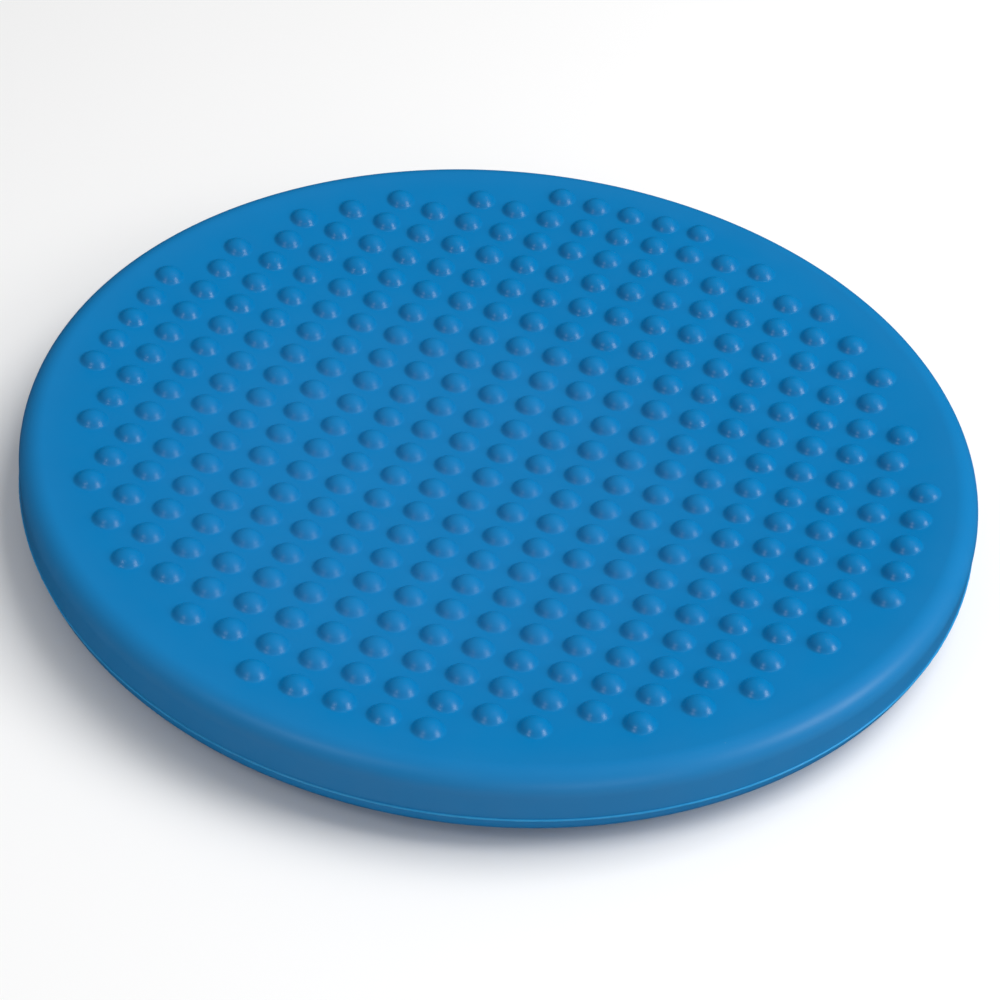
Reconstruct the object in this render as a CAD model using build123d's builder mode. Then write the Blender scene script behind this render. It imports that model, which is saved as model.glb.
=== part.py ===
# Wobble cushion: a low round air cushion for balance training, moulded in soft PVC.
#
# Two thick flexible skins are welded rim to rim into one hollow disc. The upper skin
# is dished and carries a square grid of massage studs. The lower skin is flat where it
# rests, and holds an air valve in a recess: a push-in valve body, a check flap over its
# inner end, and a stopper in its outer end.
#
# Frame: +Z up. The origin is the middle of the underside, on the floor plane. The rows
# of studs run along X and Y, and the valve is towards +Y.

from build123d import *

import os
from math import asin, cos, degrees, hypot, radians, sin, sqrt

# ---------------------------------------------------------------- driving dimensions, mm
# hollow body
body_diameter = 389.0  # over the side wall, at the seam
skin_thickness = 3.0
seam_height = 16.6  # from the floor to the middle of the weld
heel_radius = 40.0  # lower skin, from the flat underside outwards
flank_radius = 11.5  # lower skin, from the heel up to the seam
wall_draft = 1.0  # degrees that the upper side wall leans in
shoulder_radius = 8.3  # upper skin, from the side wall over to the seat
rim_height = 35.1  # from the floor to the top of the shoulder
dish_depth = 16.2  # from the top of the shoulder down to the middle of the seat

# weld that joins the two skins
weld_thickness = 0.8  # melted layer between the skins
weld_outer_bead = 0.5  # flash that stands out of the side wall, trimmed
weld_inner_bead = 1.4  # flash that stands into the hollow, untrimmed
weld_edge_radius = 0.3

# massage studs
stud_pitch = 16.85
stud_diameter = 12.2
stud_height = 3.8
stud_root = 1.0  # how far a stud's body runs down into the skin
stud_margin = 6.4  # bare seat between the outermost studs and the shoulder

# recess and collar for the valve, in the lower skin
valve_offset = 120.0  # from the middle of the cushion to the valve's axis
recess_finger_room = 6.0  # round the valve body's flange
recess_edge_radius = 1.0
collar_wall = 4.0
collar_height = 4.0

# valve body, pushed through the collar from below
air_bore_diameter = 6.4
valve_wall = 1.8
flange_overhang = 4.0  # how far the flange reaches past the collar's hole
flange_thickness = 1.0
lip_overhang = 1.8  # how far the inner lip hooks over the collar
lip_thickness = 1.2
lip_taper = 0.5  # the lip's lead-in, for pushing it through

# stopper and check flap
stopper_head_overhang = 3.8  # how far the head reaches past the air bore
stopper_head_thickness = 1.2
stopper_head_chamfer = 0.4  # also leaves room for a fingernail under the head
stopper_floor_gap = 0.4  # from the floor up to the head
stopper_nose_gap = 1.0  # from the stem's nose up to the check flap
stopper_nose_chamfer = 0.8
stopper_clearance = 0.1  # radial, stem to air bore
flap_cover = 1.4  # how far the flap reaches past the air bore
flap_thickness = 0.8
flap_tab_width = 4.0

# ---------------------------------------------------------------- derived sizes
body_radius = body_diameter / 2
weld_width = weld_inner_bead + skin_thickness + weld_outer_bead

# The heel runs tangent out of the floor plane and into the flank, so the two arcs'
# centres are heel_radius - flank_radius apart, and flank_turn is the slope between them.
arc_offset = heel_radius - flank_radius
flank_turn = degrees(asin((heel_radius - seam_height) / arc_offset))
flank_centre = body_radius - flank_radius
flat_radius = flank_centre - arc_offset * cos(radians(flank_turn))

# The side wall is the common tangent of the flank and the shoulder, at the draft angle.
shoulder_centre_height = rim_height - shoulder_radius
radius_step = flank_radius - shoulder_radius
draft_sine, draft_cosine = sin(radians(wall_draft)), cos(radians(wall_draft))
wall_rise = shoulder_centre_height - seam_height - radius_step * draft_sine
wall_length = wall_rise / draft_cosine
shoulder_centre = flank_centre + radius_step * draft_cosine - wall_length * draft_sine

# The seat is part of a ball whose centre is far above it, and it meets the shoulder
# tangent. With R the ball's radius, a the shoulder's, c the shoulder centre's distance
# from the axis and d its height over the seat's middle: c^2 + (R - d)^2 = (R + a)^2.
dish_bottom = rim_height - dish_depth
dish_drop = shoulder_centre_height - dish_bottom
dish_radius = (shoulder_centre**2 + dish_drop**2 - shoulder_radius**2) / (2 * dish_depth)
dish_ball_height = dish_bottom + dish_radius
dish_turn = degrees(asin(shoulder_centre / (dish_radius + shoulder_radius)))
dish_edge_radius = dish_radius * sin(radians(dish_turn))

stud_radius = stud_diameter / 2
stud_ball_radius = (stud_radius**2 + stud_height**2) / (2 * stud_height)
stud_field_radius = dish_edge_radius - stud_margin - stud_radius

air_bore_radius = air_bore_diameter / 2
valve_radius = air_bore_radius + valve_wall
collar_radius = valve_radius + collar_wall
flange_radius = valve_radius + flange_overhang
recess_radius = flange_radius + recess_finger_room
pad_radius = recess_radius + skin_thickness
stopper_head_radius = air_bore_radius + stopper_head_overhang
stopper_stem_radius = air_bore_radius - stopper_clearance
lip_radius = valve_radius + lip_overhang
lip_nose_radius = lip_radius - lip_taper

# heights up the valve's axis
flange_bottom = stopper_floor_gap + stopper_head_thickness
recess_depth = flange_bottom + flange_thickness
recess_roof = recess_depth + skin_thickness
collar_top = recess_roof + collar_height
lip_top = collar_top + lip_thickness
stopper_nose = lip_top - stopper_nose_gap

valve_plane = Plane((0, valve_offset, 0))
valve_section_plane = Plane((0, valve_offset, 0), x_dir=(1, 0, 0), z_dir=(0, -1, 0))
valve_axis = Axis((0, valve_offset, 0), (0, 0, 1))

os.makedirs("parts", exist_ok=True)


# ---------------------------------------------------------------- outlines of the hollow body
def lower_line(inset):
    """Half outline of the lower skin, this far inside its outer surface, axis to seam."""
    floor = Line((0, inset), (flat_radius, inset))
    heel = JernArc(floor @ 1, floor % 1, heel_radius - inset, 90 - flank_turn)
    JernArc(heel @ 1, heel % 1, flank_radius - inset, flank_turn)


def upper_line(inset):
    """Half outline of the upper skin, this far inside its outer surface, seam to axis."""
    seam = (body_radius - inset, seam_height)
    flank = JernArc(seam, (0, 1), flank_radius - inset, wall_draft)
    wall = Line(flank @ 1, flank @ 1 + wall_length * (flank % 1))
    shoulder_turn = 90 - wall_draft + dish_turn
    shoulder = JernArc(wall @ 1, wall % 1, shoulder_radius - inset, shoulder_turn)
    JernArc(shoulder @ 1, shoulder % 1, dish_radius + inset, -dish_turn)


def weld_strip(mode=Mode.ADD):
    """Section of the weld: the melted layer, with a bead out of each side of the skins."""
    with Locations((body_radius + weld_outer_bead, seam_height)):
        Rectangle(weld_width, weld_thickness, align=(Align.MAX, Align.CENTER), mode=mode)


# ---------------------------------------------------------------- upper skin
# A stud is the top of a ball, standing square on the seat.
with BuildPart() as stud:
    with Locations((0, 0, stud_height - stud_ball_radius)):
        Sphere(stud_ball_radius)
    split(bisect_by=Plane.XY.offset(-stud_root))


def stud_places():
    """Give the place on the seat of each point of the square grid in the stud field."""
    steps = int(stud_field_radius / stud_pitch)
    for column in range(-steps, steps + 1):
        for row in range(-steps, steps + 1):
            x, y = column * stud_pitch, row * stud_pitch
            if hypot(x, y) <= stud_field_radius:
                below_ball_centre = sqrt(dish_radius**2 - x**2 - y**2)
                z = dish_ball_height - below_ball_centre
                yield Plane(origin=(x, y, z), z_dir=(-x, -y, below_ball_centre)).location


with BuildPart() as upper_skin:
    with BuildSketch(Plane.XZ):
        with BuildLine():
            upper_line(0)
            upper_line(skin_thickness)
            Line((body_radius - skin_thickness, seam_height), (body_radius, seam_height))
            Line((0, dish_bottom - skin_thickness), (0, dish_bottom))
        make_face()
        weld_strip(mode=Mode.SUBTRACT)
    revolve(axis=Axis.Z)
    with Locations(*stud_places()):
        add(stud.part)
upper_skin.part.label = "upper_skin"
export_step(upper_skin.part, "parts/upper_skin.step")

# ---------------------------------------------------------------- lower skin
with BuildPart() as lower_skin:
    with BuildSketch(Plane.XZ):
        with BuildLine():
            lower_line(0)
            lower_line(skin_thickness)
            Line((0, 0), (0, skin_thickness))
            Line((body_radius - skin_thickness, seam_height), (body_radius, seam_height))
        make_face()
        weld_strip(mode=Mode.SUBTRACT)
    revolve(axis=Axis.Z)
    # the skin goes round the recess at its full thickness
    with BuildSketch(valve_plane):
        Circle(pad_radius)
    extrude(amount=recess_roof)
    pad_rim = lower_skin.edges().filter_by_position(Axis.Z, recess_roof, recess_roof)
    fillet(pad_rim, recess_edge_radius)
    # the collar that the valve body is pushed through
    with BuildSketch(valve_plane.offset(recess_roof)):
        Circle(collar_radius)
    extrude(amount=collar_height)
    with BuildSketch(valve_plane):
        Circle(recess_radius)
    extrude(amount=recess_depth, mode=Mode.SUBTRACT)
    recess_mouth = lower_skin.edges().filter_by_position(Axis.Z, 0, 0).sort_by(SortBy.RADIUS)[0]
    fillet(recess_mouth, recess_edge_radius)
    with BuildSketch(valve_plane):
        Circle(valve_radius)
    extrude(amount=collar_top, mode=Mode.SUBTRACT)
lower_skin.part.label = "lower_skin"
export_step(lower_skin.part, "parts/lower_skin.step")

# ---------------------------------------------------------------- weld
with BuildPart() as rim_weld:
    with BuildSketch(Plane.XZ) as weld_section:
        weld_strip()
        fillet(weld_section.vertices(), weld_edge_radius)
    revolve(axis=Axis.Z)
rim_weld.part.label = "rim_weld"
export_step(rim_weld.part, "parts/rim_weld.step")

# ---------------------------------------------------------------- valve body
with BuildPart() as valve_body:
    with BuildSketch(valve_section_plane):
        with BuildLine():
            Polyline(
                (air_bore_radius, flange_bottom),
                (flange_radius, flange_bottom),
                (flange_radius, recess_depth),
                (valve_radius, recess_depth),
                (valve_radius, collar_top),
                (lip_radius, collar_top),
                (lip_nose_radius, lip_top),
                (air_bore_radius, lip_top),
                close=True,
            )
        make_face()
    revolve(axis=valve_axis)
valve_body.part.label = "valve_body"
export_step(valve_body.part, "parts/valve_body.step")

# ---------------------------------------------------------------- stopper
with BuildPart() as stopper:
    with BuildSketch(valve_section_plane):
        with BuildLine():
            Polyline(
                (0, stopper_floor_gap),
                (stopper_head_radius - stopper_head_chamfer, stopper_floor_gap),
                (stopper_head_radius, stopper_floor_gap + stopper_head_chamfer),
                (stopper_head_radius, flange_bottom - stopper_head_chamfer),
                (stopper_head_radius - stopper_head_chamfer, flange_bottom),
                (stopper_stem_radius, flange_bottom),
                (stopper_stem_radius, stopper_nose - stopper_nose_chamfer),
                (stopper_stem_radius - stopper_nose_chamfer, stopper_nose),
                (0, stopper_nose),
                close=True,
            )
        make_face()
    revolve(axis=valve_axis)
stopper.part.label = "stopper"
export_step(stopper.part, "parts/stopper.step")

# ---------------------------------------------------------------- check flap
# A disc over the inner end of the air bore. Its tab is welded to the lip along the tab's
# end, where it bends when air is pumped in.
with BuildPart() as check_flap:
    with BuildSketch(valve_plane.offset(lip_top)):
        Circle(air_bore_radius + flap_cover)
        Rectangle(flap_tab_width, lip_nose_radius, align=(Align.CENTER, Align.MAX))
    extrude(amount=flap_thickness)
check_flap.part.label = "check_flap"
export_step(check_flap.part, "parts/check_flap.step")
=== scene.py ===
# %% [markdown]
# # A wobble cushion in soft vinyl
# A wobble cushion is a flat bag of air, moulded in thick soft vinyl. One stands or sits
# on it, and it rocks. This notebook loads its working model, which holds every size,
# joint and fit, and then makes the skins that show: the studded seat, the side wall, the
# lower skin and the welded edge between them, each with the finish of the real thing.

# %% Load the working model
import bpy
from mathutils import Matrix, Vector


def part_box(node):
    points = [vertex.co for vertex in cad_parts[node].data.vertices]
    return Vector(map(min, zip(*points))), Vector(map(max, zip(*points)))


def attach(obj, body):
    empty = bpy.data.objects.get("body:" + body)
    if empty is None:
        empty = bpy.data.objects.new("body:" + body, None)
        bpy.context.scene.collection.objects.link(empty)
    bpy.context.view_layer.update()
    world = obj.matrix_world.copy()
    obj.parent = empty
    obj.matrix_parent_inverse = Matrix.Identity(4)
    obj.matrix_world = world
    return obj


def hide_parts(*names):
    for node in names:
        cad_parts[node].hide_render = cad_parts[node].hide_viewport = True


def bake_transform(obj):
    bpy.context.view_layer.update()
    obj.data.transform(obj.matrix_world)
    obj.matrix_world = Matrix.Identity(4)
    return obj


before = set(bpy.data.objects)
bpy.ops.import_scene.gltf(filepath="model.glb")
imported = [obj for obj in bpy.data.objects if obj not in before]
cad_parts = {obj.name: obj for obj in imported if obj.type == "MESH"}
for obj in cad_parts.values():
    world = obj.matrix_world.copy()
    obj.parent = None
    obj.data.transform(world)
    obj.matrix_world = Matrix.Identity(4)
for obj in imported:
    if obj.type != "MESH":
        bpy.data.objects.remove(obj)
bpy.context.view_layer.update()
print("nodes:", sorted(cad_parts))

# %% [markdown]
# ## Sizes
# The frame says how wide the body is and where the weld lies, so those come from it. The
# rest are the sizes that the moulds were cut to: arcs for the heel, the flank and the
# shoulder, a very large ball for the dished seat, and the grid of studs. The centres of
# the arcs are worked out the way a drawing board does it, from one arc tangent to the
# next, so the outline has no corners.

# %% Sizes, in metres
from math import asin, atan2, cos, hypot, pi, radians, sin, sqrt

import bmesh
import bpy
from mathutils import Quaternion, Vector

MM = 0.001
SKIN = 3.0 * MM
HEEL = 40.0 * MM
FLANK = 11.5 * MM
SHOULDER = 8.3 * MM
DRAFT = radians(1.0)
RIM_HEIGHT = 35.1 * MM
DISH_DEPTH = 16.2 * MM
PITCH = 16.85 * MM
STUD = 6.1 * MM
STUD_HEIGHT = 3.8 * MM
STUD_MARGIN = 6.4 * MM
PANEL = 184.0 * MM  # the seat panel's own radius, just inside the shoulder

body_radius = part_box("upper_skin")[1].x
weld_low, weld_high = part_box("rim_weld")[0].z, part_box("rim_weld")[1].z
seam = (weld_low + weld_high) / 2

arc_offset = HEEL - FLANK
heel_turn = asin((HEEL - seam) / arc_offset)
flank_centre = body_radius - FLANK
flat_radius = flank_centre - arc_offset * cos(heel_turn)

shoulder_height = RIM_HEIGHT - SHOULDER
wall_rise = shoulder_height - seam - (FLANK - SHOULDER) * sin(DRAFT)
shoulder_centre = flank_centre + (FLANK - SHOULDER) * cos(DRAFT) - wall_rise * sin(DRAFT) / cos(DRAFT)

dish_bottom = RIM_HEIGHT - DISH_DEPTH
dish_drop = shoulder_height - dish_bottom
dish_ball = (shoulder_centre**2 + dish_drop**2 - SHOULDER**2) / (2 * DISH_DEPTH)
dish_turn = asin(shoulder_centre / (dish_ball + SHOULDER))
field_radius = dish_ball * sin(dish_turn) - STUD_MARGIN - STUD
print(f"seat ball radius {dish_ball:.3f} m, flat underside radius {flat_radius:.4f} m")

# %% [markdown]
# ## Modelling by rings
# Nearly everything here is round, as a potter or a turner would make it. Such a skin can
# be spun from half an outline, or drawn up ring by ring from a circle. Rings are used:
# each step is an extrude and a resize, the mesh is clean from the start, and there is no
# doubled seam to merge afterwards. A closed outline then gets its last gap bridged.

# %% Helpers: rings, picking by place, and finishing a piece
SIDES = 288


def first_ring(name, radius, height, centre=(0, 0), sides=SIDES):
    """A circle at its size and place, open for editing, with all of it selected."""
    bpy.ops.object.select_all(action="DESELECT")
    bpy.ops.mesh.primitive_circle_add(vertices=sides, radius=radius, location=(*centre, height))
    piece = bpy.context.object
    piece.name = piece.data.name = name
    bpy.ops.object.transform_apply(location=True, rotation=True, scale=True)
    bpy.ops.object.mode_set(mode="EDIT")
    bpy.ops.mesh.select_mode(type="EDGE")
    bpy.ops.mesh.select_all(action="SELECT")
    return piece


def draw_rings(outline, centre=(0, 0)):
    """Extrude the selected ring from each (radius, height) of an outline to the next."""
    for (radius, height), (next_radius, next_height) in zip(outline, outline[1:]):
        rise = (0, 0, next_height - height)
        bpy.ops.mesh.extrude_edges_move(TRANSFORM_OT_translate={"value": rise})
        grow = next_radius / radius
        bpy.ops.transform.resize(value=(grow, grow, 1), center_override=(*centre, next_height))


def ring_skin(name, outline, centre=(0, 0), sides=SIDES):
    """A skin drawn ring by ring along a whole outline, left open for editing."""
    piece = first_ring(name, *outline[0], centre, sides)
    draw_rings(outline, centre)
    return piece


def pick_edges(test):
    """In edit mode, select only the open edges whose middle passes a test."""
    bpy.ops.mesh.select_mode(type="EDGE")
    bpy.ops.mesh.select_all(action="DESELECT")
    mesh = bmesh.from_edit_mesh(bpy.context.object.data)
    for edge in mesh.edges:
        middle = (edge.verts[0].co + edge.verts[1].co) / 2
        edge.select_set(edge.is_boundary and test(middle))
    bmesh.update_edit_mesh(bpy.context.object.data)


def bridge(test=lambda middle: True):
    """Bridge the two open rings that pass a test."""
    pick_edges(test)
    bpy.ops.mesh.bridge_edge_loops()


def finish_piece(piece, crease=50):
    """Close the edit, turn every face outwards, and shade it smooth up to a crease angle."""
    bpy.ops.mesh.select_all(action="SELECT")
    bpy.ops.mesh.normals_make_consistent(inside=False)
    bpy.ops.object.mode_set(mode="OBJECT")
    bpy.ops.object.shade_smooth_by_angle(angle=radians(crease))
    triangles = sum(len(face.vertices) - 2 for face in piece.data.polygons)
    print(f"{piece.name}: {triangles} triangles")
    return piece


def arc(centre, radius, start, end, steps):
    """Points along an arc in the outline's plane, both ends included, angles in radians."""
    turns = [start + (end - start) * step / steps for step in range(steps + 1)]
    return [(centre[0] + radius * cos(turn), centre[1] + radius * sin(turn)) for turn in turns]


# %% [markdown]
# ## One stud, in its own square of seat
# The studs are domes, moulded in one with the seat, on a square grid. Loose domes sunk
# into the seat would leave a hard line round each foot, and the real ones have a small
# fillet there. So one square cell is made, with its dome growing out of it: a circle
# round the foot is drawn in to the fillet and up into the dome ring by ring, closed at
# the top, and the circle's outside is pulled out flat to the edges of the square. The
# first ring lies flat, so the smooth shading bends at the foot and nowhere else. Sixteen
# sides put a vertex on every corner and every middle of the square, so cells join
# without gaps.

# %% Model one cell
CELL_SIDES = 16
FILLET = 0.4 * MM
DOME_RINGS = 5
CALM_RING = 0.45 * MM

stud_ball = (STUD**2 + STUD_HEIGHT**2) / (2 * STUD_HEIGHT)
foot_slope = asin(STUD / stud_ball)
fillet_slope = foot_slope - 2 * asin(FILLET / 2 / stud_ball)
dome_top = (0, STUD_HEIGHT - stud_ball)
steepest, last = pi / 2 - fillet_slope, pi / 2 - fillet_slope / (DOME_RINGS + 1)
dome = arc(dome_top, stud_ball, steepest, last, DOME_RINGS)

foot = STUD + FILLET
cell = first_ring("seat_cell", foot + CALM_RING, 0, sides=CELL_SIDES)
draw_rings([(foot + CALM_RING, 0), (foot, 0), *dome])
bpy.ops.mesh.extrude_edges_move(
    TRANSFORM_OT_translate={"value": (0, 0, STUD_HEIGHT - dome[-1][1])}
)
bpy.ops.mesh.merge(type="CENTER")

pick_edges(lambda middle: hypot(middle.x, middle.y) > foot)
bpy.ops.mesh.extrude_edges_move()
mesh = bmesh.from_edit_mesh(cell.data)
for corner in (vertex for vertex in mesh.verts if vertex.select):
    reach = PITCH / 2 / max(abs(corner.co.x), abs(corner.co.y))
    corner.co.x, corner.co.y = corner.co.x * reach, corner.co.y * reach
bmesh.update_edit_mesh(cell.data)
bpy.ops.object.mode_set(mode="OBJECT")
print("faces in one cell:", len(cell.data.polygons))

# %% [markdown]
# ## The grid of cells
# A row of cells and then a block of rows are made with two Array modifiers, which merge
# the edges where cells meet. The field of studs is round, so the cells whose middle is
# too far out are deleted, and what is left has a stepped edge. Last, the whole grid moves
# back by just under a millimetre, because it isn't quite centred in the real mould.

# %% Copy the cell over the seat
GRID_SHIFT = (-0.2 * MM, 0.9 * MM, 0)
MERGE = 0.004 * MM  # vertices nearer than this are one

cells_out = int(field_radius / PITCH)
cells_across = 2 * cells_out + 1
for axis, name in enumerate(("row", "block")):
    copies = cell.modifiers.new(name, "ARRAY")
    copies.count = cells_across
    copies.use_relative_offset = False
    copies.use_constant_offset = True
    copies.constant_offset_displace = [PITCH * (axis == side) for side in range(3)]
    copies.use_merge_vertices = True
    copies.merge_threshold = MERGE
    bpy.ops.object.modifier_apply(modifier=name)

seat_panel = cell
seat_panel.name = seat_panel.data.name = "seat_panel"
bpy.ops.object.mode_set(mode="EDIT")
bpy.ops.mesh.select_all(action="SELECT")
bpy.ops.mesh.remove_doubles(threshold=MERGE)
bpy.ops.transform.translate(value=(-cells_out * PITCH, -cells_out * PITCH, 0))
bpy.ops.mesh.select_mode(type="FACE")
bpy.ops.mesh.select_all(action="DESELECT")
mesh = bmesh.from_edit_mesh(seat_panel.data)
for face in mesh.faces:
    middle = face.calc_center_median()
    column, row = round(middle.x / PITCH), round(middle.y / PITCH)
    face.select_set(hypot(column, row) * PITCH > field_radius)
bmesh.update_edit_mesh(seat_panel.data)
bpy.ops.mesh.delete(type="FACE")
bpy.ops.mesh.select_all(action="SELECT")
bpy.ops.transform.translate(value=GRID_SHIFT)
print(f"{cells_across} cells across at the widest, {PITCH:.5f} m apart")

# %% [markdown]
# ## From the stepped edge to a round one
# Outside the studs the seat is bare. The stepped edge is extruded outwards in a few
# rings, each nearer to the round edge. Each vertex keeps its bearing from the middle, so
# no face crosses another. The last ring is narrow, so that the shading at the
# edge is the seat's own and no line shows where the side wall takes over.

# %% Draw the bare margin
MARGIN_STEPS = (0.4, 0.75, 1.0)
LAST_RING = 0.8 * MM

pick_edges(lambda middle: True)
share_left = 1.0
for share in MARGIN_STEPS:
    bpy.ops.mesh.extrude_edges_move()
    mesh = bmesh.from_edit_mesh(seat_panel.data)
    for vertex in (vertex for vertex in mesh.verts if vertex.select):
        radius = hypot(vertex.co.x, vertex.co.y)
        part = (share - 1 + share_left) / share_left
        grown = radius + (PANEL - LAST_RING - radius) * part
        vertex.co.x, vertex.co.y = vertex.co.x * grown / radius, vertex.co.y * grown / radius
    share_left = 1 - share
    bmesh.update_edit_mesh(seat_panel.data)
draw_rings([(PANEL - LAST_RING, 0), (PANEL, 0)])
print(f"bare margin drawn out to {PANEL:.3f} m")

# %% [markdown]
# ## Underside of the panel, and the dish
# The panel is a plate as thick as the skin: its edge is extruded down and drawn in to the
# middle. Then the flat plate is laid onto the large ball that the seat is part of. A bag
# of air is never quite true, so the ball gets soft waves of a millimetre or two, which
# die out towards the shoulder. Each vertex keeps its height, measured square to the
# seat, so every stud stands square on the dish. A bend or a lattice would only come near
# to this, and here it is exact.

# %% Close the plate and lay it on the wavy ball
UNDER_RINGS = 12
# Each wave: how often it rises round the seat, its power of the radius, and its two heights
WAVES = (
    (0, 0, -0.80, 0.0), (0, 2, 7.65, 0.0),
    (1, 1, -0.26, -0.03), (1, 3, -3.63, 1.56),
    (2, 2, -3.29, 3.23), (2, 4, -2.62, 2.02),
    (3, 3, -1.70, -1.11), (3, 5, -2.24, -8.93),
    (4, 4, -0.31, -4.82),
)


def seat_height(x, y):
    """Height of the seat's surface under its studs."""
    out, turn = hypot(x, y) / PANEL, atan2(y, x)
    calm = max(0.0, 1 - out**2) ** 1.5
    wave = sum(
        calm * out**power * (even * cos(count * turn) + odd * sin(count * turn))
        for count, power, even, odd in WAVES
    )
    return dish_bottom + dish_ball - sqrt(dish_ball**2 - x**2 - y**2) + wave * MM


def seat_frame(x, y, reach=0.5 * MM):
    """The point of the seat at (x, y), and the direction square to the seat there."""
    slope_x = (seat_height(x + reach, y) - seat_height(x - reach, y)) / (2 * reach)
    slope_y = (seat_height(x, y + reach) - seat_height(x, y - reach)) / (2 * reach)
    return Vector((x, y, seat_height(x, y))), Vector((-slope_x, -slope_y, 1)).normalized()


inward = [(PANEL * (1 - ring / UNDER_RINGS), -SKIN) for ring in range(UNDER_RINGS)]
draw_rings([(PANEL, 0), *inward])
bpy.ops.mesh.merge(type="CENTER")

mesh = bmesh.from_edit_mesh(seat_panel.data)
for vertex in mesh.verts:
    on_seat, square = seat_frame(vertex.co.x, vertex.co.y)
    vertex.co = on_seat + vertex.co.z * square
bmesh.update_edit_mesh(seat_panel.data)
finish_piece(seat_panel)

# %% [markdown]
# ## Side wall
# The upper skin goes on over the shoulder and down the side wall to the weld. It is a
# piece of its own, because the cushion bends here when it rocks, and the seat doesn't.
# Its outline runs from the panel's edge over the shoulder and down, and back up inside,
# three millimetres in. The wall has enough rings to bend smoothly.

# %% Draw the side wall
SHOULDER_STEPS = 14
WALL_STEPS = 8


def upper_outline(inset, first):
    """Outline of the upper skin from the panel's edge, out over the shoulder, to the weld."""
    shoulder_at = (shoulder_centre, shoulder_height)
    ball = dish_ball + inset
    ball_at = (0, dish_bottom + dish_ball)
    panel_turn = asin(PANEL / dish_ball)
    seat_edge = arc(ball_at, ball, panel_turn - pi / 2, dish_turn - pi / 2, 2)
    over = arc(shoulder_at, SHOULDER - inset, pi / 2 + dish_turn, DRAFT, SHOULDER_STEPS)
    top_of_wall = over[-1]
    foot_of_wall = (body_radius - inset, first)
    fall = [
        (
            top_of_wall[0] + (foot_of_wall[0] - top_of_wall[0]) * step / WALL_STEPS,
            top_of_wall[1] + (foot_of_wall[1] - top_of_wall[1]) * step / WALL_STEPS,
        )
        for step in range(1, WALL_STEPS + 1)
    ]
    return [*seat_edge[:-1], *over, *fall]


outside, inside = upper_outline(0, weld_high), upper_outline(SKIN, weld_high)
side_wall = ring_skin("side_wall", [*outside, *reversed(inside)])
bridge()
finish_piece(side_wall)

# %% [markdown]
# ## Lower skin and its valve recess
# The lower skin is drawn in the same way, from the inside of the flank over the weld
# face and down outside to the flat. The valve sits off centre, so the flat can't be drawn
# in rings. The recess with its collar is drawn as a small round skin of its own, the
# two are joined, and the flats above and below are bridged from the large ring to the
# small one. Everything in a bridge lies in one plane, so its long faces do no harm.

# %% Draw the lower skin
HEEL_STEPS = 12
FLANK_STEPS = 10
VALVE_SIDES = 96
MOUTH = 1.0 * MM  # radius of the rounded mouth, and of the pad's edge inside
MOUTH_STEPS = 4
RECESS_MARGIN = 6.0 * MM  # round the valve's flange
COLLAR_WALL = 4.0 * MM
COLLAR_RISE = 4.0 * MM

valve_low, valve_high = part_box("valve_body")
valve_at = ((valve_low.x + valve_high.x) / 2, (valve_low.y + valve_high.y) / 2)
flange_radius = (valve_high.x - valve_low.x) / 2
recess_radius = flange_radius + RECESS_MARGIN
recess_depth = 2.6 * MM
collar_hole = 5.0 * MM
collar_radius = collar_hole + COLLAR_WALL
roof = recess_depth + SKIN
collar_top = roof + COLLAR_RISE
pad_radius = recess_radius + SKIN


def lower_outline(inset):
    """Outline of the lower skin from its flat, out round the heel and up to the weld."""
    heel = arc((flat_radius, HEEL), HEEL - inset, -pi / 2, -heel_turn, HEEL_STEPS)
    flank = arc((flank_centre, seam), FLANK - inset, -heel_turn, 0, FLANK_STEPS)
    return [*heel, *flank[1:-1], (body_radius - inset, weld_low)]


lower_shell = ring_skin("lower_shell", [*lower_outline(SKIN), *reversed(lower_outline(0))])
bpy.ops.object.mode_set(mode="OBJECT")

mouth = arc((recess_radius + MOUTH, MOUTH), MOUTH, -pi / 2, -pi, MOUTH_STEPS)
pad = arc((pad_radius - MOUTH, roof - MOUTH), MOUTH, pi / 2, 0, MOUTH_STEPS)
recess = ring_skin(
    "recess",
    [
        *mouth,
        (recess_radius, recess_depth),
        (collar_hole, recess_depth),
        (collar_hole, collar_top),
        (collar_radius, collar_top),
        (collar_radius, roof),
        *pad,
        (pad_radius, SKIN),
    ],
    valve_at,
    VALVE_SIDES,
)
bpy.ops.object.mode_set(mode="OBJECT")
lower_shell.select_set(True)
bpy.context.view_layer.objects.active = lower_shell
bpy.ops.object.join()
bpy.ops.object.mode_set(mode="EDIT")
bridge(lambda middle: middle.z < SKIN / 2)
bridge()
finish_piece(lower_shell, crease=40)

# %% [markdown]
# ## Weld
# The two skins are welded with heat, and a little melted vinyl is squeezed out and
# trimmed with a blade. That leaves a fine raised line all the way round, uneven by about
# a tenth of a millimetre. The bead is a flat ring with rounded edges, and the
# vertices of its outermost edge are then shifted at random to give the trimmed look.

# %% Draw the weld
BEAD_SIDES = 720
BEAD_EDGE = 0.35 * MM
BEAD_STEPS = 4
TRIM = 0.12 * MM
TRIM_SEED = 4
WELD_OVERLAP = 1.4 * MM  # how far the weld reaches in past the skins' inner faces

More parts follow.
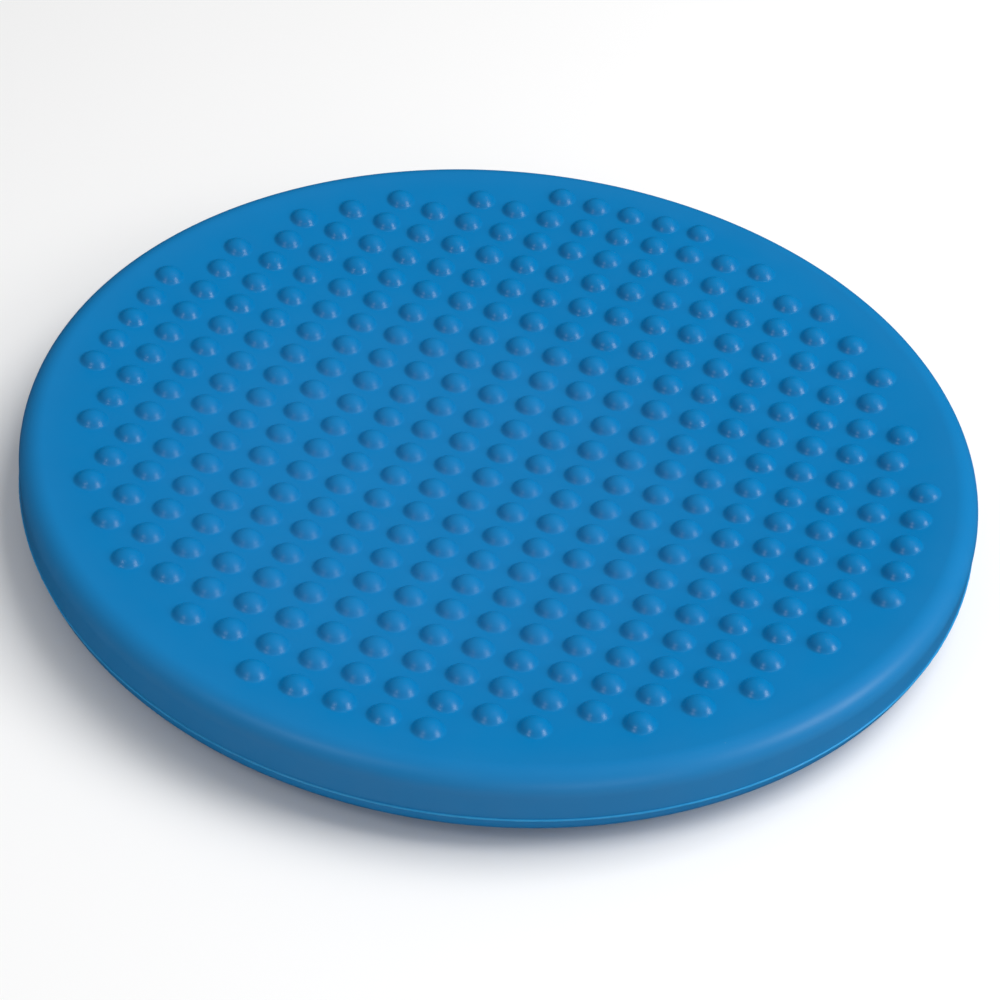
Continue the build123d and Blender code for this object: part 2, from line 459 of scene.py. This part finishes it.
bead_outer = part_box("rim_weld")[1].x
bead_inner = body_radius - SKIN - WELD_OVERLAP
outer_low = arc((bead_outer - BEAD_EDGE, weld_low + BEAD_EDGE), BEAD_EDGE, -pi / 2, 0, BEAD_STEPS)
outer_high = arc((bead_outer - BEAD_EDGE, weld_high - BEAD_EDGE), BEAD_EDGE, 0, pi / 2, BEAD_STEPS)
weld_bead = ring_skin(
    "weld_bead",
    [(bead_inner, weld_low), *outer_low, *outer_high, (bead_inner, weld_high)],
    sides=BEAD_SIDES,
)
bridge()
bpy.ops.mesh.select_mode(type="VERT")
bpy.ops.mesh.select_all(action="DESELECT")
mesh = bmesh.from_edit_mesh(weld_bead.data)
for vertex in mesh.verts:
    vertex.select_set(hypot(vertex.co.x, vertex.co.y) > bead_outer - BEAD_EDGE / 2)
bmesh.update_edit_mesh(weld_bead.data)
bpy.ops.transform.vertex_random(offset=TRIM, uniform=0.0, normal=0.0, seed=TRIM_SEED)
finish_piece(weld_bead)

# %% [markdown]
# ## Who moves with what
# The seat panel is stiff enough to move as one plate, and rides with the seat; the weld
# rides with the rim. The side wall gives, from the weld up to the shoulder, and the lower
# skin gives from the floor up to the weld; here both only have their placing baked into
# their shapes. All three are skins of an air-filled pad.

# %% Ride, bake and replace
for piece, body in ((seat_panel, "seat"), (weld_bead, "rim")):
    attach(piece, body)

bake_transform(side_wall)
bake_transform(lower_shell)

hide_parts("upper_skin")
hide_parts("upper_skin")
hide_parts("lower_skin")
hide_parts("rim_weld")
print("padded pieces:", seat_panel.name, side_wall.name, lower_shell.name)

# %% [markdown]
# ## Materials
# Everything is soft PVC in one family of blues, except the stopper. A material is a small
# set of nodes: one function adds a node, sets its values and makes its links, and
# colours are written as they look on a screen and turned to linear light.

# %% Helpers for materials


def linear(hex_colour):
    """An sRGB colour such as 0x0079ba as linear red, green, blue and alpha."""
    channels = [(hex_colour >> shift & 255) / 255 for shift in (16, 8, 0)]
    return (*(c / 12.92 if c <= 0.04045 else ((c + 0.055) / 1.055) ** 2.4 for c in channels), 1)


def add_node(tree, kind, links=None, **settings):
    """Add a node. A setting is one of its own properties or, failing that, a socket's value."""
    node = tree.nodes.new(kind)
    own = [name for name in settings if hasattr(node, name)]
    for name in own:
        setattr(node, name, settings[name])
    sockets = {socket.name: socket for socket in node.inputs if socket.enabled}
    for name in settings.keys() - own:
        sockets[name.replace("_", " ")].default_value = settings[name]
    for name, source in (links or {}).items():
        tree.links.new(source, sockets[name])
    return node


def new_material(name, base, roughness, ior):
    """A material with a Principled shader, and its node tree, shader and coordinates."""
    material = bpy.data.materials.new(name)
    material.use_nodes = True
    tree = material.node_tree
    shader = tree.nodes["Principled BSDF"]
    shader.inputs["Base Color"].default_value = linear(base)
    shader.inputs["Roughness"].default_value = roughness
    shader.inputs["IOR"].default_value = ior
    place = tree.nodes.new("ShaderNodeTexCoord").outputs["Object"]
    return material, tree, shader, place


# %% [markdown]
# ### Moulded blue vinyl
# Plasticised PVC out of a polished mould: a saturated blue with a satin gloss. To the eye
# it has soft highlights, a very fine grain from the mould's skin, and a few pale specks
# of the dust that it attracts. Its refractive index is about 1.53. The real grain is
# under a tenth of a millimetre and wouldn't show, so it is drawn at a quarter of a
# millimetre. All four vinyls and plastics are mixed the same way, so one function
# makes them.

# %% How a moulded vinyl is made
GRAIN = 0.25 * MM
CLOUD = 30.0 * MM
PATCH = 14.0 * MM
SPECK = 0.25 * MM
SPECK_GAP = 24.0 * MM
SPECK_COLOUR, SPECK_STRENGTH = 0x9CC8E6, 0.35
PVC_INDEX = 1.53
PATCH_LOW, PATCH_HIGH = 0.35, 0.65  # the noise's usual range
GLOSSIER, DULLER = 0.95, 1.1


def moulded_vinyl(name, base, deep, roughness, grain):
    """Soft PVC: clouded between two near blues, with grain, uneven gloss and pale specks."""
    material, tree, shader, place = new_material(name, base, roughness, ior=PVC_INDEX)
    cloud = add_node(tree, "ShaderNodeTexNoise", {"Vector": place}, Scale=1 / CLOUD, Detail=2.0)
    blue = add_node(
        tree, "ShaderNodeMix", {"Factor": cloud.outputs["Fac"]},
        data_type="RGBA", A=linear(deep), B=linear(base),
    )
    dust = add_node(tree, "ShaderNodeTexVoronoi", {"Vector": place}, Scale=1 / SPECK_GAP)
    fleck = add_node(
        tree, "ShaderNodeMapRange", {"Value": dust.outputs["Distance"]},
        From_Min=SPECK / SPECK_GAP / 2, From_Max=SPECK / SPECK_GAP,
        To_Min=SPECK_STRENGTH, To_Max=0.0,
    )
    flecked = add_node(
        tree, "ShaderNodeMix", {"Factor": fleck.outputs["Result"], "A": blue.outputs[2]},
        data_type="RGBA", B=linear(SPECK_COLOUR),
    )
    tree.links.new(flecked.outputs[2], shader.inputs["Base Color"])

    patchy = add_node(tree, "ShaderNodeTexNoise", {"Vector": place}, Scale=1 / PATCH, Detail=1.0)
    gloss = add_node(
        tree, "ShaderNodeMapRange", {"Value": patchy.outputs["Fac"]},
        From_Min=PATCH_LOW, From_Max=PATCH_HIGH,
        To_Min=roughness * GLOSSIER, To_Max=roughness * DULLER,
    )
    tree.links.new(gloss.outputs["Result"], shader.inputs["Roughness"])
    fine = add_node(tree, "ShaderNodeTexNoise", {"Vector": place}, Scale=1 / GRAIN, Detail=3.0)
    bump = add_node(
        tree, "ShaderNodeBump", {"Height": fine.outputs["Fac"]},
        Strength=grain, Distance=GRAIN / 5,
    )
    tree.links.new(bump.outputs["Normal"], shader.inputs["Normal"])
    return material, tree, shader, place, gloss


# %% [markdown]
# ### Four mixtures
# The skins are one deep blue. The weld's paler blue is a painted highlight, standing in for
# the light caught along its fine raised line, and its grain is stronger. The valve is a darker
# blue with a duller surface, and its stopper is a harder plastic, nearly navy.

# %% Mix the skins, the weld, the valve and the stopper
skin_vinyl, tree, shader, place, gloss = moulded_vinyl(
    "moulded_blue_vinyl", 0x0079B7, 0x0075B2, roughness=0.3, grain=0.12
)
# the weld's paler blue is a painted highlight along its raised line
weld_vinyl, *_ = moulded_vinyl(
    "weld_vinyl_painted_highlight", 0x3AA4DC, 0x0E86C4, roughness=0.3, grain=0.6
)
valve_vinyl, *_ = moulded_vinyl("valve_vinyl", 0x0C64A8, 0x0A5C9C, roughness=0.4, grain=0.4)
stopper_plastic, *_ = moulded_vinyl(
    "stopper_plastic", 0x16324E, 0x122A44, roughness=0.48, grain=0.5
)
print("the skins are", skin_vinyl.name, "and the weld is", weld_vinyl.name)

# %% [markdown]
# ### Where the gloss goes
# Where feet stand and cloth rubs, the polish goes and the studs turn matt. The patch
# sits a little forward of the middle. The shoulder and the side wall come from a part of
# the mould that was left satin. So a little roughness is added near one point of the
# seat, and some more outside the outermost studs.

# %% Dull the middle of the seat and its shoulder
RUBBED_AT = (-15 * MM, -42 * MM, 20 * MM)
RUBBED, POLISHED, RUB = 75 * MM, 150 * MM, 0.14
AXIS = (0, 0, 0)
SATIN_FROM, SATIN_TO, SATIN = 172 * MM, 186 * MM, 0.12
EVERY_WAY, LEVEL_ONLY = (1, 1, 1), (1, 1, 0)


def added_roughness(so_far, centre, counted, near, far):
    """Add roughness that goes from one amount to another with distance from a centre.

    Near and far are each a distance and the roughness added there, and counted says
    which of x, y and z the distance is measured along.
    """
    seen = add_node(tree, "ShaderNodeVectorMath", operation="MULTIPLY")
    tree.links.new(place, seen.inputs[0])
    seen.inputs[1].default_value = counted
    away = add_node(tree, "ShaderNodeVectorMath", operation="DISTANCE")
    tree.links.new(seen.outputs["Vector"], away.inputs[0])
    away.inputs[1].default_value = centre
    change = add_node(
        tree, "ShaderNodeMapRange", {"Value": away.outputs["Value"]},
        interpolation_type="SMOOTHSTEP",
        From_Min=near[0], From_Max=far[0], To_Min=near[1], To_Max=far[1],
    )
    total = add_node(tree, "ShaderNodeMath", operation="ADD")
    tree.links.new(so_far, total.inputs[0])
    tree.links.new(change.outputs["Result"], total.inputs[1])
    return total.outputs["Value"]


rubbed = added_roughness(
    gloss.outputs["Result"], RUBBED_AT, EVERY_WAY, near=(RUBBED, RUB), far=(POLISHED, 0)
)
satin = added_roughness(rubbed, AXIS, LEVEL_ONLY, near=(SATIN_FROM, 0), far=(SATIN_TO, SATIN))
tree.links.new(satin, shader.inputs["Roughness"])
print(f"roughness rises by {RUB} where it is rubbed and by {SATIN} on the shoulder")

# %% [markdown]
# ## Put the finishes on
# The three skins share one vinyl. The valve's pieces keep the shapes of the working model,
# which are right as they are, and only get their finish here.

# %% Give every piece its finish
for piece in (seat_panel, side_wall, lower_shell):
    piece.data.materials.clear()
    piece.data.materials.append(skin_vinyl)
weld_bead.data.materials.clear()
weld_bead.data.materials.append(weld_vinyl)

finishes = {"valve_body": valve_vinyl, "check_flap": valve_vinyl, "stopper": stopper_plastic}
for name, finish in finishes.items():
    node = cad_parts[name]
    node.data.materials.clear()
    node.data.materials.append(finish)
print("materials:", sorted(material.name for material in bpy.data.materials))

# %% [markdown]
# ## Studio
# A plain pale floor, and lights as in a product studio. A broad soft key hangs overhead.
# Two small lamps, one to the right and one to the left in front, put the paired glints on
# the studs, and a dim panel between them brightens the front. The room and the floor
# light the vinyl but aren't mirrored in it, which keeps its blue deep.

# %% Floor and room
FLOOR_SIZE = 12.0
ROOM_LIGHT = 0.4
bpy.ops.object.select_all(action="DESELECT")
bpy.ops.mesh.primitive_plane_add(size=FLOOR_SIZE)
floor = bpy.context.object
floor.name = "floor"
pale, *_ = new_material("pale_floor", 0xF4F4F4, roughness=0.9, ior=1.45)
floor.data.materials.append(pale)
floor.visible_glossy = False

world = bpy.data.worlds.new("studio_room")
bpy.context.scene.world = world
world.use_nodes = True
room = world.node_tree.nodes["Background"]
room.inputs["Color"].default_value = (1, 1, 1, 1)
room.inputs["Strength"].default_value = ROOM_LIGHT
world.cycles_visibility.glossy = False
print("floor", FLOOR_SIZE, "m across, room light", ROOM_LIGHT)

# %% Lamps

def soft_lamp(name, azimuth, elevation, distance, size, radiance, mirrored=True):
    """A square softbox in a direction from the cushion, as bright as its radiance says."""
    data = bpy.data.lights.new(name, "AREA")
    data.energy, data.size = radiance * pi * size**2, size
    lamp = bpy.data.objects.new(name, data)
    bpy.context.scene.collection.objects.link(lamp)
    turn, tilt = radians(azimuth), radians(elevation)
    towards = Vector((cos(turn) * cos(tilt), sin(turn) * cos(tilt), sin(tilt)))
    lamp.location = towards * distance
    lamp.rotation_mode = "QUATERNION"
    lamp.rotation_quaternion = towards.to_track_quat("Z", "Y")
    lamp.visible_glossy = mirrored


soft_lamp("overhead", 30, 60, 2.0, 1.5, radiance=4.6, mirrored=False)
soft_lamp("right_lamp", 6, 31, 1.6, 0.5, radiance=6.0)
soft_lamp("left_lamp", -110, 47, 0.9, 0.16, radiance=5.0)
soft_lamp("front_glow", -48, 24, 1.6, 0.5, radiance=1.6)

# %% [markdown]
# ## Camera
# The camera looks down from the front, a little to the right, with a slight roll, and
# stands near enough for the near studs to look larger than the far ones. It is placed by
# what it aims at, its distance, and the three angles that a photographer would set.

# %% Camera
CAMERA_AIM = Vector((8.33, -23.86, 15.83)) * MM
CAMERA_DISTANCE = 900.0 * MM
AZIMUTH, ELEVATION, ROLL = radians(16.714), radians(40.991), radians(5.576)
SENSOR, LENS = 36.0, 80.18  # millimetres, the unit that a camera takes
camera_data = bpy.data.cameras.new("camera")
camera_data.sensor_width, camera_data.lens = SENSOR, LENS
camera = bpy.data.objects.new("camera", camera_data)
bpy.context.scene.collection.objects.link(camera)
back = Vector(
    (sin(AZIMUTH) * cos(ELEVATION), -cos(AZIMUTH) * cos(ELEVATION), sin(ELEVATION))
)
camera.location = CAMERA_AIM + back * CAMERA_DISTANCE
camera.rotation_mode = "QUATERNION"
camera.rotation_quaternion = Quaternion(back, ROLL) @ back.to_track_quat("Z", "Y")
bpy.context.scene.camera = camera
bpy.context.scene.view_settings.view_transform = "Standard"
print("camera at", [round(value, 3) for value in camera.location])
